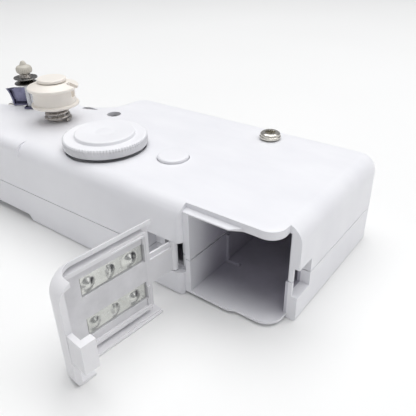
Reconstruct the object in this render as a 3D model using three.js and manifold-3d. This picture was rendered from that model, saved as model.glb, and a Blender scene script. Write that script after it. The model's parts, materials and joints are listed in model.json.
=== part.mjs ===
// Handheld battery sewing machine, lying face up with its battery door open.
// Millimetres, +Z up, +X towards the battery end, +Y towards the sewing side.
import * as THREE from 'three';
import { mergeVertices } from 'three/addons/utils/BufferGeometryUtils.js';
import Module from 'manifold-3d';

const wasm = await Module();
wasm.setup();
const { Manifold, Mesh: SolidMesh } = wasm;

// ---- driving dimensions -------------------------------------------------------------------
// Drawn from the battery end face (x = 0), the door side (y = 0) and the floor (z = 0),
// then moved so the origin is under the middle of the case.
const CASE_H = 34;            // face height when lying down
const CASE_W = 72.5;          // door side to sewing side
const GRIP_L = 117.5;          // battery end to throat
const HEAD_END = -172;        // needle end of the head
const BED_END = -206;         // tip of the bed arm
const SHIFT_X = 103;
const SHIFT_Y = -CASE_W / 2;
const WALL = 1.8;
const EDGE_R = 6;             // rounding round the face
const HEAD_R = 3.8;           // and along the near edge of the head
const HEAD_X = -115.1;         // where the head begins
const PART_Z = 14.15;         // joint line between the two shells
const GAP = 0.3;

const WHEEL = [-86, 19.4];    // hand wheel axis
const WHEEL_R = 15.7;
const BUTTON = [-58.7, 25.7];
const BUTTON_R = 5.6;
const WINDER = [-39.5, 60.2];
const SOCKET = [-109, 45.4];
const SPOOL = [-123.4, 27];
const TENSION = [-146.1, 30];

const GEAR_Z = [22.5, 26.5];
const MODULE = 0.8;
const TEETH = { main: 36, motor: 10, idler: 46, winder: 9 };

const ARM_PIVOT = [-104, 22];
const ARM_TIP = [-186, 14];
const ARM_Z = [13.7, 17.3];
const NEEDLE_L = 37;
const NEEDLE_TILT = 5.4;      // degrees off the Y axis at rest
const PLATE_Y = 53.2;         // top of the needle plate
const BED_Y = 54.5;

const BAY = { x0: -33.1, x1: -3.4, y1: 58, z0: 2, z1: 31 };
const BAY_LOW_X1 = -4.1;      // the lower shell's end wall is a little thicker
const DOOR_EDGE = -35.4;      // where the door side is cut back for the door
const DOOR_T = 2;             // depth of that cut in the side wall
const DOOR_TOP = { inset: 4, z0: 31.4, z1: 32 };   // the door curls over the face this far,
                              // above a ledge that rises inwards from z0 to z1
const DOOR_UNDER = { inset: 6.4, z: 1.1 }; // and under the floor of the bay this far
const CORNER_X = [-19, -14.5]; // between these the ledge round the mouth of the bay runs out
const DOOR_END = 11;          // how far the door wraps round the battery end
const EDGE_ROUND = 2;
const STRAP_PIVOT = [-45.4, 1.4];
const STRAP_SLIDE = 6.3;
const DOOR_OPEN = 96;         // degrees
const POCKET = { x0: -48.8, x1: -34.9, y: 3.8, z0: 8.8, z1: 20.4 };
const STRAP_Z = [9.4, 18.1];
const LATCH = { y0: 12, y1: 18.9, z0: 9.1, z1: 19.4 };

// ---- solid helpers ------------------------------------------------------------------------
const solid = (geometry) => {
  const g = geometry.clone();
  g.deleteAttribute('normal');
  g.deleteAttribute('uv');
  const m = mergeVertices(g, 1e-4);
  return new Manifold(new SolidMesh({
    numProp: 3,
    vertProperties: new Float32Array(m.attributes.position.array),
    triVerts: new Uint32Array(m.index.array),
  }));
};
const geometryOf = (s) => {
  const m = s.getMesh();
  const g = new THREE.BufferGeometry();
  g.setAttribute('position', new THREE.BufferAttribute(new Float32Array(m.vertProperties), 3));
  g.setIndex(new THREE.BufferAttribute(new Uint32Array(m.triVerts), 1));
  return g.toNonIndexed();
};
const box = (x0, x1, y0, y1, z0, z1) => {
  const g = new THREE.BoxGeometry(x1 - x0, y1 - y0, z1 - z0);
  return solid(g.translate((x0 + x1) / 2, (y0 + y1) / 2, (z0 + z1) / 2));
};
const rod = ([x, y], r, z0, z1, sides = 16) => {
  const g = new THREE.CylinderGeometry(r, r, z1 - z0, sides);
  return solid(g.rotateX(Math.PI / 2).translate(x, y, (z0 + z1) / 2));
};
const rodY = ([x, z], r, y0, y1, sides = 14) => {
  const g = new THREE.CylinderGeometry(r, r, y1 - y0, sides);
  return solid(g.translate(x, (y0 + y1) / 2, z));
};
const rodX = ([y, z], r, x0, x1, sides = 14) => {
  const g = new THREE.CylinderGeometry(r, r, x1 - x0, sides);
  return solid(g.rotateZ(Math.PI / 2).translate((x0 + x1) / 2, y, z));
};
const lathe = ([x, y], profile, sides = 24) => {
  const points = profile.map(([r, z]) => new THREE.Vector2(r, z));
  const g = new THREE.LatheGeometry(points, sides);
  return solid(g.rotateX(Math.PI / 2).translate(x, y, 0));
};
const plate = (points, z0, z1) => {
  const shape = new THREE.Shape(points.map(([x, y]) => new THREE.Vector2(x, y)));
  const g = new THREE.ExtrudeGeometry(shape, { depth: z1 - z0, bevelEnabled: false, steps: 1 });
  return solid(g.translate(0, 0, z0));
};
// a profile drawn in X and Z, pushed along Y
const plateXZ = (points, y0, y1) => plate(points.map(([x, z]) => [x, -z]), y0, y1)
  .rotate([-90, 0, 0]);
const join = (first, ...rest) => rest.reduce((all, s) => all.add(s), first);
const cut = (first, ...rest) => rest.reduce((left, s) => left.subtract(s), first);

class Helix extends THREE.Curve {
  constructor(centre, r0, r1, z0, z1, turns) {
    super();
    Object.assign(this, { centre, r0, r1, z0, z1, turns });
  }
  getPoint(t, target = new THREE.Vector3()) {
    const a = 2 * Math.PI * this.turns * t;
    const r = this.r0 + (this.r1 - this.r0) * t;
    return target.set(this.centre[0] + r * Math.cos(a), this.centre[1] + r * Math.sin(a),
      this.z0 + (this.z1 - this.z0) * t);
  }
}
const wireShape = (r, sides) => new THREE.Shape(Array.from({ length: sides }, (_, i) => {
  const a = (2 * Math.PI * i) / sides;
  return new THREE.Vector2(r * Math.cos(a), r * Math.sin(a));
}));
const coil = (centre, wire, r0, r1, z0, z1, turns, steps) => {
  const path = new Helix(centre, r0 - wire, r1 - wire, z0 + wire, z1 - wire, turns);
  return solid(new THREE.ExtrudeGeometry(wireShape(wire, 5), { steps, extrudePath: path }));
};

// spur gear with straight-flanked teeth and plenty of backlash
const gear = (centre, teeth, phase, bore) => {
  const pitch = (MODULE * teeth) / 2;
  const root = pitch - 1.15 * MODULE;
  const tip = pitch + 0.8 * MODULE;
  const step = (2 * Math.PI) / teeth;
  const points = [];
  for (let i = 0; i < teeth; i += 1) {
    const a = phase + i * step;
    const corner = (r, off) => [centre[0] + r * Math.cos(a + off * step),
      centre[1] + r * Math.sin(a + off * step)];
    points.push(corner(root, -0.3), corner(tip, -0.11), corner(tip, 0.11), corner(root, 0.3));
  }
  const blank = plate(points, ...GEAR_Z);
  return bore ? blank.subtract(rod(centre, bore, GEAR_Z[0] - 1, GEAR_Z[1] + 1)) : blank;
};

// ---- plan outlines with rounded corners, and solids lofted between insets of them ----------
const outline = (corners) => {
  const points = [];
  corners.forEach(([x, y, r], i) => {
    const [px, py] = corners[(i + corners.length - 1) % corners.length];
    const [nx, ny] = corners[(i + 1) % corners.length];
    const a = new THREE.Vector2(x - px, y - py).normalize();
    const b = new THREE.Vector2(nx - x, ny - y).normalize();
    const turn = Math.atan2(a.x * b.y - a.y * b.x, a.dot(b));
    const tangent = r * Math.tan(Math.abs(turn) / 2);
    const side = Math.sign(turn);
    const cx = x - a.x * tangent - a.y * r * side;
    const cy = y - a.y * tangent + a.x * r * side;
    const steps = Math.max(2, Math.round(Math.abs(turn) / 0.28));
    for (let k = 0; k <= steps; k += 1) {
      const t = (turn * k) / steps;
      const n = [a.y * Math.cos(t) + a.x * Math.sin(t), -a.x * Math.cos(t) + a.y * Math.sin(t)];
      points.push({ x: cx + n[0] * r * side, y: cy + n[1] * r * side, n });
    }
  });
  return points;
};
const loft = (points, layers) => {
  const count = points.length;
  const position = [];
  layers.forEach(([inset, z]) => points.forEach((p) => {
    position.push(p.x - p.n[0] * inset, p.y - p.n[1] * inset, z);
  }));
  const index = [];
  for (let k = 0; k + 1 < layers.length; k += 1) {
    for (let i = 0; i < count; i += 1) {
      const j = (i + 1) % count;
      const [a, b, c, d] = [k * count + i, k * count + j, (k + 1) * count + j, (k + 1) * count + i];
      index.push(a, b, c, a, c, d);
    }
  }
  [0, layers.length - 1].forEach((k) => {
    const ring = points.map((_, i) => new THREE.Vector2(position[3 * (k * count + i)],
      position[3 * (k * count + i) + 1]));
    THREE.ShapeUtils.triangulateShape(ring, []).forEach(([a, b, c]) => {
      const o = k * count;
      index.push(...(k ? [o + a, o + b, o + c] : [o + a, o + c, o + b]));
    });
  });
  const g = new THREE.BufferGeometry();
  g.setAttribute('position', new THREE.BufferAttribute(new Float32Array(position), 3));
  g.setIndex(index);
  return solid(g);
};
const rounded = (inset, r, z0, z1, steps) => {
  const layers = [[inset, z0]];
  for (let k = 0; k <= steps; k += 1) {
    const a = (Math.PI / 2) * (k / steps);
    layers.push([inset + r * (1 - Math.cos(a)), z1 - r + r * Math.sin(a)]);
  }
  return layers;
};

// ---- case ---------------------------------------------------------------------------------
const plan = outline([
  [0, 0, 9], [0, CASE_W, 7], [-GRIP_L, CASE_W, 8], [-118.6, 54.9, 8], [-157.8, 32.1, 30],
  [HEAD_END, 27.2, 6.7], [HEAD_END, 0, 7],
]);
const bedPlan = outline([
  [-104, BED_Y, 2.2], [-104, CASE_W, 2.2], [BED_END, CASE_W, 6], [BED_END, BED_Y, 3.5],
]);
const outer = () => {
  const grip = loft(plan, [[0.7, 0], ...rounded(0, EDGE_R, 0.7, CASE_H, 5)]);
  // the near edge of the head has a smaller rounding than the grip
  const brow = loft(plan, [[0.7, 0], ...rounded(0, HEAD_R, 0.7, CASE_H, 3)])
    .intersect(box(HEAD_END - 5, HEAD_X, -5, 14, -1, CASE_H + 1));
  const main = grip.add(brow);
  const bed = loft(bedPlan, [[1, 3], ...rounded(0, 1.6, 4, 20, 2)]);
  const undercut = plateXZ([[HEAD_END - 5, -1], [-113.4, -1], [-116.2, 3], [HEAD_END - 5, 3]],
    -5, 60);
  return main.subtract(undercut).add(bed);
};
const inner = () => {
  const main = loft(plan, rounded(WALL, EDGE_R - WALL, WALL, CASE_H - WALL, 3));
  const raise = box(HEAD_END - 5, -109.5, -5, 60, 0, 3 + WALL);
  const bed = box(BED_END + WALL, -108, BED_Y + WALL, CASE_W - WALL, 3 + WALL, 20 - WALL);
  const bay = box(BAY.x0 - 2, 5, -5, BAY.y1 + 1.6, -1, CASE_H + 1);
  const besideDoor = box(DOOR_EDGE - 1.1, BAY.x0, -5, 14, -1, CASE_H + 1);
  return main.subtract(raise).add(bed).subtract(bay).subtract(besideDoor);
};
// the space the door takes, round the door side and the battery end corner
const prismOf = (inset, z0, z1) => loft(plan, [[inset, z0], [inset, z1]]);
const doorBand = (grow) => {
  const core = join(
    loft(plan, [[DOOR_T + grow, DOOR_UNDER.z + grow], [DOOR_T + grow, DOOR_TOP.z0 - grow],
      [DOOR_TOP.inset + grow, DOOR_TOP.z1 - grow]]),
    prismOf(DOOR_TOP.inset + grow, DOOR_UNDER.z + grow, CASE_H + 2),
    prismOf(DOOR_UNDER.inset + grow, -2, CASE_H + 2),
  );
  return box(DOOR_EDGE - grow, 4, -4, DOOR_END + grow, -3, CASE_H + 3).subtract(core);
};
// round the corner the mouth is cut back level with the face, with no ledge
const cornerRelief = () => {
  const corner = [[CORNER_X[0], -4], [4, -4], [4, DOOR_END], [CORNER_X[1], DOOR_END],
    [CORNER_X[1], 4.2], [CORNER_X[0], 1.8]];
  return join(
    plate(corner, 30.4, CASE_H + 3).subtract(prismOf(DOOR_TOP.inset, 30, 40)),
    plate(corner, -3, 4.2).subtract(prismOf(3.1, -4, 5)),
    box(BAY.x1 - 1, 4, -4, DOOR_END, BAY.z0, BAY.z1),
  );
};
// the upright edge of the case beside the door is rounded off
const doorEdgeRound = () => box(DOOR_EDGE - EDGE_ROUND, DOOR_EDGE + 0.1, -1, EDGE_ROUND, -1, 40)
  .subtract(rod([DOOR_EDGE - EDGE_ROUND, EDGE_ROUND], EDGE_ROUND, -2, 41, 24));
const bayHollow = () => cut(join(box(BAY.x0, BAY_LOW_X1, -5, BAY.y1, BAY.z0, BAY.z1),
  box(BAY_LOW_X1 - 1, BAY.x1, -5, BAY.y1, PART_Z, BAY.z1)),
  box(-40, BAY.x0 + 0.9, 22, 23.2, 0, PART_Z - 1), box(-40, BAY.x0 + 5.5, 22, 23.2, 0, BAY.z0 + 0.9));

const bosses = [[-8, 66], [-104, 66], [-52, 8], [-154, 6.4]];
const gearSpot = () => {
  const dist = (TEETH.main + TEETH.motor) * MODULE / 2;
  const motor = [WHEEL[0] + dist * Math.cos(0.8), WHEEL[1] + dist * Math.sin(0.8)];
  const ra = (TEETH.motor + TEETH.idler) * MODULE / 2;
  const rb = (TEETH.idler + TEETH.winder) * MODULE / 2;
  const [dx, dy] = [WINDER[0] - motor[0], WINDER[1] - motor[1]];
  const d = Math.hypot(dx, dy);
  const along = (ra * ra - rb * rb + d * d) / (2 * d);
  const across = Math.sqrt(ra * ra - along * along);
  const idler = [motor[0] + (dx * along - dy * across) / d,
    motor[1] + (dy * along + dx * across) / d];
  return { motor, idler };
};
const { motor: MOTOR, idler: IDLER } = gearSpot();
const angleTo = (from, to) => Math.atan2(to[1] - from[1], to[0] - from[0]);
// phase that puts a tooth gap of the driven gear on the line to its driver's tooth
const meshPhase = (driver, driverTeeth, driverPhase, driven, teeth) => {
  const there = angleTo(driver, driven);
  const offset = (there - driverPhase) * driverTeeth;
  return there + Math.PI + (offset + Math.PI) / teeth;
};

const armSlot = () => box(HEAD_END - 5, -149, 8.5, 45, ARM_Z[0] - 1, ARM_Z[1] + 1);
const looperPin = { x: -117, z: 7.4 };
const PRESSER = { x: -166, z: 26.4 };

const shells = () => {
  let body = outer().subtract(inner());
  const slit = plate([[-134.4, 42.6], [-128.5, 42.2], [-123.5, 43.3], [-118.9, 45.3],
    [-126.3, 45.9], [-133.6, 45.6]], 27.5, 40);
  const holes = [
    bayHollow(), doorBand(0), cornerRelief(), slit, armSlot(),
    box(POCKET.x0, POCKET.x1, -3, POCKET.y, POCKET.z0, POCKET.z1),
    box(POCKET.x0, -38.4, 0.5, 2.3, POCKET.z0 - 1, POCKET.z1 + 1),
    box(-44.8, -37.3, 3, 8, POCKET.z0 + 0.6, POCKET.z1 - 0.6), doorEdgeRound(),
    box(-5, 3, LATCH.y0, LATCH.y1, LATCH.z0, LATCH.z1),
    box(-1.95, 3, DOOR_END - 0.5, LATCH.y0 + 0.1, LATCH.z0, LATCH.z1),
    rod(BUTTON, BUTTON_R + 0.25, 30, 36, 24),
    rod(WINDER, 2.2, 30, 36), rod(SOCKET, 3, 30, 36), rod(SPOOL, 2.2, 30, 36),
    rod(TENSION, 1.8, 29, 36),
    box(-191.5, -181.5, BED_Y - 2, BED_Y + 3, 12.6, 18.15),
    rodY([looperPin.x, looperPin.z], 1.3, BED_Y + 0.9, CASE_W - 0.9),
    rodY([PRESSER.x, PRESSER.z], 1.7, -6, 32),
  ];
  body = join(body, rod(WHEEL, 17, 28.6, CASE_H - 1, 28).intersect(outer()),
    box(POCKET.x0 - 1.4, BAY.x0, 1.2, POCKET.y + 1.6, POCKET.z0 - 2.4, POCKET.z1 + 2.4));
  holes.push(rod(WHEEL, 15.2, 30.4, 40, 36), rod(WHEEL, 2.4, 20, 40));
  const lowerPosts = [
    rod(WHEEL, 3.6, 1, 8.7), rod(WINDER, 3.2, 1, 20.5), rod(IDLER, 3, 1, 21.9),
    rod(ARM_PIVOT, 3.4, 1, ARM_Z[0] - GAP), ...bosses.map((b) => rod(b, 3.2, 1, 13.8, 10)),
  ];
  const upperPosts = bosses.map((b) => rod(b, 3.2, 14.5, 32.6, 10))
    .concat([[-64.5, 17.2], [-53.5, 17.2]].map((p) => rod(p, 1.6, 27.3, 32.6, 8)));
  const blind = [rod(WHEEL, 2.08, 3.5, 9), rod(WINDER, 1.58, 5.5, 21), rod(IDLER, 1.53, 6, 22.5),
    rod(ARM_PIVOT, 1.53, 5, 15)];
  const screws = bosses.map((b, i) => {
    const base = i === 3 ? 3 : 0;
    return rod(b, 2.9, base - 1, base + 2.2, 12).add(rod(b, 1.5, base - 1, 14.5, 8));
  });
  const pilot = bosses.map((b) => rod(b, 1.35, 14, 24, 8));
  const lowerHalf = box(-260, 60, -60, 120, -5, PART_Z - GAP / 2);
  const upperHalf = box(-260, 60, -60, 120, PART_Z + GAP / 2, 60);
  const lower = cut(join(body.intersect(lowerHalf), ...lowerPosts), ...holes, ...blind, ...screws);
  const upper = cut(join(body.intersect(upperHalf), ...upperPosts), ...holes, ...pilot);
  return { lower, upper };
};

// ---- battery door, drawn shut and then swung open -------------------------------------------
const openDoor = (s) => s.translate([-STRAP_PIVOT[0], -STRAP_PIVOT[1], 0])
  .rotate([0, 0, -DOOR_OPEN])
  .translate([STRAP_PIVOT[0] + STRAP_SLIDE, STRAP_PIVOT[1], 0]);
const doorLip = () => {
  const [x0, x1, z0, z1] = [BAY.x0 + 0.5, -5, BAY.z0 + 0.5, BAY.z1 - 0.5];
  const floor = box(x0, x1, DOOR_T - 0.3, 3.4, z0, z1);
  const frame = [box(x0, x1, 3.3, 4.3, z0, z0 + 1.3), box(x0, x1, 3.3, 4.3, z1 - 1.3, z1),
    box(x0, x0 + 1.2, 3.3, 3.9, z0, 11), box(x0, x0 + 1.2, 3.3, 3.9, 20.4, z1)];
  return join(floor, ...frame);
};
const STRIP_Z = [9.7, 23.6];
const STRIP = { x0: -31.4, x1: -10.6, half: 2.8, y: 2.75 };
const battery_door = () => {
  const skin = loft(plan, [[1.8, 0.1], [0.6, 0.8], ...rounded(0, EDGE_R, 2.4, CASE_H - 0.05, 5)])
    .intersect(doorBand(-0.2)).intersect(box(DOOR_EDGE + 0.2, 4, -4, DOOR_END - 0.2, 0.1, 40));
  const strap = join(box(STRAP_PIVOT[0], DOOR_EDGE + 1, 0.45, 1.8, ...STRAP_Z),
    box(STRAP_PIVOT[0] + 1, DOOR_EDGE + 1, 0.45, 1.1, STRAP_Z[1] - 0.2, STRAP_Z[1] + 1.6));
  const barrel = rod(STRAP_PIVOT, 1.25, POCKET.z0 + 0.3, POCKET.z1 - 0.3, 16);
  const hook = box(-1.75, -0.15, DOOR_END - 0.8, 16.7, LATCH.z0 + 0.4, LATCH.z1 - 0.4)
    .add(box(-4.6, -0.15, 14.4, 16.7, LATCH.z0 + 0.4, LATCH.z1 - 0.4));
  const pockets = STRIP_Z.map((z) => box(STRIP.x0 - 0.4, STRIP.x1 + 0.4, STRIP.y - 0.35, 6,
    z - STRIP.half - 0.3, z + STRIP.half + 0.3));
  return cut(join(skin, doorLip(), strap, barrel, hook), ...pockets,
    rod(STRAP_PIVOT, 0.72, 8, 21, 16));
};
const doorStrip = (z) => {
  const sheet = box(STRIP.x0, STRIP.x1, STRIP.y - 0.15, STRIP.y + 0.2, z - STRIP.half, z + STRIP.half);
  const bump = (x) => {
    const g = new THREE.CylinderGeometry(0.7, 2.5, 1.1, 12);
    return solid(g.translate(x, STRIP.y + 0.7, z));
  };
  return join(sheet, bump(-26.8), bump(-12.6));
};

// ---- moving parts -------------------------------------------------------------------------
const serrated = (centre, r, notch, count, z0, z1) => {
  const points = [];
  for (let i = 0; i < count; i += 1) {
    const at = (rr, f) => {
      const a = (2 * Math.PI * (i + f)) / count;
      return [centre[0] + rr * Math.cos(a), centre[1] + rr * Math.sin(a)];
    };
    points.push(at(r, 0), at(r - notch, 0.5));
  }
  return plate(points, z0, z1);
};
const hand_wheel = () => {
  const rim = serrated(WHEEL, WHEEL_R, 0.4, 60, 35.2, 38.7);
  const top = lathe(WHEEL, [[0, 38.5], [11, 38.5], [11, 39.5], [10.7, 39.8], [0, 39.8]], 32);
  return cut(join(rim, top), rod(WHEEL, 2.3, 34, 37.6));
};
const main_gear = () => {
  const disc = rod(WHEEL, 7.4, 20.2, GEAR_Z[0] + 0.2);
  const pin = rod([WHEEL[0] + 5.4, WHEEL[1]], 1.2, ARM_Z[0], 20.4, 12);
  return cut(join(gear(WHEEL, TEETH.main, 0, 0), disc, pin), rod(WHEEL, 2.3, 19, 30));
};
const armAngle = Math.atan2(ARM_TIP[1] - ARM_PIVOT[1], ARM_TIP[0] - ARM_PIVOT[0]);
const needle_arm = () => {
  const [px, py] = ARM_PIVOT;
  const along = (d, w) => [px + d * Math.cos(armAngle) - w * Math.sin(armAngle),
    py + d * Math.sin(armAngle) + w * Math.cos(armAngle)];
  const bar = plate([along(0, -3.4), along(0, 3.4), along(78, 2.4), along(78, -2.4)].reverse(),
    ...ARM_Z);
  const [wx, wy] = WHEEL;
  const fork = plate([[wx + 7, wy - 8.6], [wx + 7, wy - 11], [wx - 10, wy - 11], [px + 1, py - 3],
    [px + 1, py + 3], [wx - 10, wy + 11], [wx + 7, wy + 11], [wx + 7, wy + 8.6],
    [wx - 8.6, wy + 8.6], [wx - 8.6, wy - 8.6]].reverse(), ...ARM_Z);
  return cut(join(bar, fork, rod(ARM_PIVOT, 4.6, ...ARM_Z)), rod(ARM_PIVOT, 1.58, 10, 20));
};
const needleLine = (s) => s.translate([-ARM_TIP[0], -ARM_TIP[1], 0])
  .rotate([0, 0, NEEDLE_TILT]).translate([...ARM_TIP, 0]);
const armMid = (ARM_Z[0] + ARM_Z[1]) / 2;
const needle_clamp = () => {
  const [x, y] = ARM_TIP;
  const block = box(x - 3.4, x + 3.2, y - 5, y + 6, armMid - 3.6, armMid + 3.6);
  const seat = box(x + 2.4, x + 4, y - 6, y + 7, ARM_Z[0] - 0.2, ARM_Z[1] + 0.2);
  return needleLine(cut(block, seat, rodY([x, armMid], 0.62, y - 3, y + 8, 12),
    rodX([y + 3, armMid], 0.95, x - 5, x - 0.8, 12)));
};
const needle = () => {
  const [x, y] = ARM_TIP;
  const profile = [[0, 0], [0.16, 0.6], [0.45, 3], [0.45, NEEDLE_L - 10], [0.58, NEEDLE_L - 9],
    [0.58, NEEDLE_L + 1.8], [0, NEEDLE_L + 1.8]].map(([r, d]) => new THREE.Vector2(r, -d));
  const g = new THREE.LatheGeometry(profile.reverse(), 12);
  const body = solid(g.translate(x, y + NEEDLE_L, armMid));
  return needleLine(body.subtract(box(x - 1, x + 1, y + NEEDLE_L - 5.2, y + NEEDLE_L - 4,
    armMid - 0.15, armMid + 0.15)));
};
const needle_screw = () => {
  const [x, y] = ARM_TIP;
  const stem = rodX([y + 3, armMid], 0.85, x - 5, x - 1.2, 12);
  const points = [];
  for (let i = 0; i < 36; i += 1) {
    const a = (2 * Math.PI * i) / 36;
    const r = i % 2 ? 2.9 : 3.3;
    points.push([r * Math.cos(a), r * Math.sin(a)]);
  }
  const head = plate(points, 0, 5).rotate([0, -90, 0]).translate([x - 3.8, y + 3, armMid]);
  return needleLine(join(stem, head));
};
const presser_foot = () => {
  const { x, z } = PRESSER;
  const sole = box(-196, -163.4, 51.6, 52.6, 10.4, 20.6);
  const web = box(-170, -163.4, 51.6, 52.6, 20.4, 28.6);
  const hub = rodY([x, z], 2.6, 43.5, 52);
  const eye = box(-192.4, -179.6, 50, 54, 13.2, 17.8);
  return cut(join(sole, web, hub), eye, rodY([x, z], 1.75, 40, 48));
};
const bobbin = () => {
  const spool = lathe(SPOOL, [[2.9, 40.7], [9.7, 40.7], [9.7, 41.7], [8.5, 41.9], [8.5, 47.5],
    [10.2, 47.7], [10.3, 48.7], [6.2, 50.4], [2.9, 50.4], [2.9, 40.7]], 32);
  const a = 0.45;
  const slot = box(7, 12, -1.2, 1.2, 44.2, 52).rotate([0, 0, (a * 180) / Math.PI])
    .translate([...SPOOL, 0]);
  return spool.subtract(slot);
};
const looper = () => {
  const { x, z } = looperPin;
  const hub = rodY([x, z], 2.4, 60.4, 64.4);
  const bar = box(-188.5, x, 61.4, 63.4, z - 1.5, z + 1.5);
  const hook = plateXZ([[-189.8, z - 1.5], [-187.6, z - 1.5], [-187.6, z + 2.6],
    [-184.6, z + 3.4], [-187.9, z + 4.4], [-189.8, z + 3]], 61.6, 63.2);
  return cut(join(hub, bar, hook), rodY([x, z], 1.2, 58, 68));
};

// ---- springs, plates and small fixed parts ---------------------------------------------------
const tension_bracket = () => {
  const z = CASE_H + GAP;
  const foot = plate([[-8.9, 2.8], [-2.4, 2.8], [-2.4, -2.4], [3, -2.4], [3, 5.6], [-8.9, 5.6]],
    z, z + 0.7);
  const back = box(-8.9, 3, 4.9, 5.6, z + 0.5, z + 7.6);
  const wing = plateXZ([[-8.9, z], [-8.2, z], [-8.9, z + 7.4], [-10.6, z + 8], [-9.7, z + 6.6]],
    2.8, 5.6);
  return cut(join(foot, back, wing), rod([0, 0], 1.7, z - 1, z + 2)).rotate([0, 0, 37])
    .translate([...TENSION, 0]);
};
const tensionDisc = (z, side) => {
  const profile = side > 0
    ? [[1.7, z], [3, z], [5, z + 0.8], [5, z + 1.3], [2.8, z + 0.5], [1.7, z + 0.5], [1.7, z]]
    : [[1.7, z + 0.8], [2.8, z + 0.8], [5, z], [5, z + 0.5], [3, z + 1.3], [1.7, z + 1.3],
      [1.7, z + 0.8]];
  return lathe(TENSION, profile, 20);
};
const tension_knob = () => lathe(TENSION, [[1.65, 49.9], [2.8, 49.9], [3.4, 50.5], [3.4, 52],
  [2.9, 52.8], [1.5, 53.3], [1.1, 54.2], [0, 55.1], [0, 52.6], [1.65, 52.6], [1.65, 49.9]], 18);

const caseScrew = ([x, y], base) => {
  const head = rod([x, y], 2.5, base + 0.9, base + 2, 12);
  const shank = rod([x, y], 1.15, base + 1.8, 20, 8);
  return cut(join(head, shank), box(x - 1.6, x + 1.6, y - 0.35, y + 0.35, base, base + 1.4));
};

// ---- assembly ------------------------------------------------------------------------------
const group = new THREE.Group();
const add = (name, s, color, roughness, metalness = 0) => {
  const g = geometryOf(s.translate([SHIFT_X, SHIFT_Y, 0]));
  g.computeVertexNormals();
  const mesh = new THREE.Mesh(g, new THREE.MeshStandardMaterial({ color, roughness, metalness }));
  mesh.name = name;
  group.add(mesh);
};
const white = [0xf2f2f4, 0.45];
const grey = [0xd9d9dc, 0.5];
const ivory = [0xf0e8da, 0.5];
const steel = [0xb9bbbf, 0.3, 1];
const nickel = [0xc8c5bd, 0.25, 1];
const dark = [0x2a2a2d, 0.5];

const { lower, upper } = shells();
add('upper_case', upper, ...white);
add('lower_case', lower, ...white);

add('battery_door', openDoor(battery_door()), ...white);
add('door_pivot', openDoor(rod(STRAP_PIVOT, 0.62, POCKET.z0 - 0.8, POCKET.z1 + 0.8, 16)), ...steel);
STRIP_Z.forEach((z, i) => add(`door_contact_${'ab'[i]}`, openDoor(doorStrip(z)), ...nickel));

add('hand_wheel', hand_wheel(), ...white);
add('wheel_shaft', rod(WHEEL, 2, 4, 37.3), ...steel);
add('main_gear', main_gear(), ...grey);

const motorPhase = meshPhase(WHEEL, TEETH.main, 0, MOTOR, TEETH.motor);
const idlerPhase = meshPhase(MOTOR, TEETH.motor, motorPhase, IDLER, TEETH.idler);
const winderPhase = meshPhase(IDLER, TEETH.idler, idlerPhase, WINDER, TEETH.winder);
add('motor_can', join(rod(MOTOR, 10, 2.1, 12.6, 24), rod(MOTOR, 3, 12.4, 14))
  .subtract(rod(MOTOR, 1.08, 8, 15)), ...steel);
add('motor_shaft', rod(MOTOR, 1, 9, 27.6), ...steel);
add('motor_pinion', gear(MOTOR, TEETH.motor, motorPhase, 1.3), 0xc9a45a, 0.35, 1);
add('idler_axle', rod(IDLER, 1.45, 6.4, 28), ...steel);
add('idler_gear', gear(IDLER, TEETH.idler, idlerPhase, 1.53), ...grey);
add('winder_pinion', gear(WINDER, TEETH.winder, winderPhase, 1.8), ...grey);
add('winder_hub', cut(lathe(WINDER, [[0, 6], [1.5, 6], [1.5, 34.4], [3.8, 34.4], [4, 34.6],
  [4, 35.3], [3.7, 35.5], [3.8, 35.7], [3.7, 36.2], [3.1, 36.7], [0, 36.7]], 20),
  rod(WINDER, 1.95, 34.9, 39, 6)), ...nickel);

add('power_button', join(lathe(BUTTON, [[0, 30.6], [6.6, 30.6], [6.6, 31.8], [BUTTON_R, 31.8],
  [BUTTON_R, 34.8], [5.1, 35.2], [0, 35.2]], 28)), ...white);
add('switch_board', box(-67, -51, 15, 27.2, 25.7, 27), 0x2f6b43, 0.6);
add('switch_body', box(-61.7, -55.7, 21.4, 27.0, 27.3, 29.2), ...dark);
add('dc_socket', lathe(SOCKET, [[0, 22], [4.6, 22], [4.6, 31.9], [2.7, 31.9], [2.7, 23.4],
  [0.9, 23.4], [0.9, 30], [0, 30.6]], 24), ...dark);

add('spool_pin', lathe(SPOOL, [[0, 29.4], [2, 29.4], [2, 34.3], [2.6, 34.3], [2.6, 50.7],
  [5.8, 50.7], [5.8, 51.7], [5.3, 52.1], [0, 52.3]], 24), ...ivory);
add('bobbin', bobbin(), ...ivory);
add('spool_spring', coil(SPOOL, 0.6, 6, 4.7, 34.3, 40.4, 2.6, 36), 0x8c8378, 0.35, 1);

add('tension_post', rod(TENSION, 1.45, 29.6, 52.2, 16), ...steel);
add('tension_bracket', tension_bracket(), ...steel);
add('tension_disc_low', tensionDisc(45.2, -1), ...nickel);
add('tension_disc_high', tensionDisc(46.8, 1), ...nickel);
add('tension_spring', coil(TENSION, 0.35, 2.6, 2.2, 47.5, 49.7, 2, 18), 0x8c8378, 0.35, 1);
add('tension_knob', tension_knob(), 0xb8b2a6, 0.4);

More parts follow.
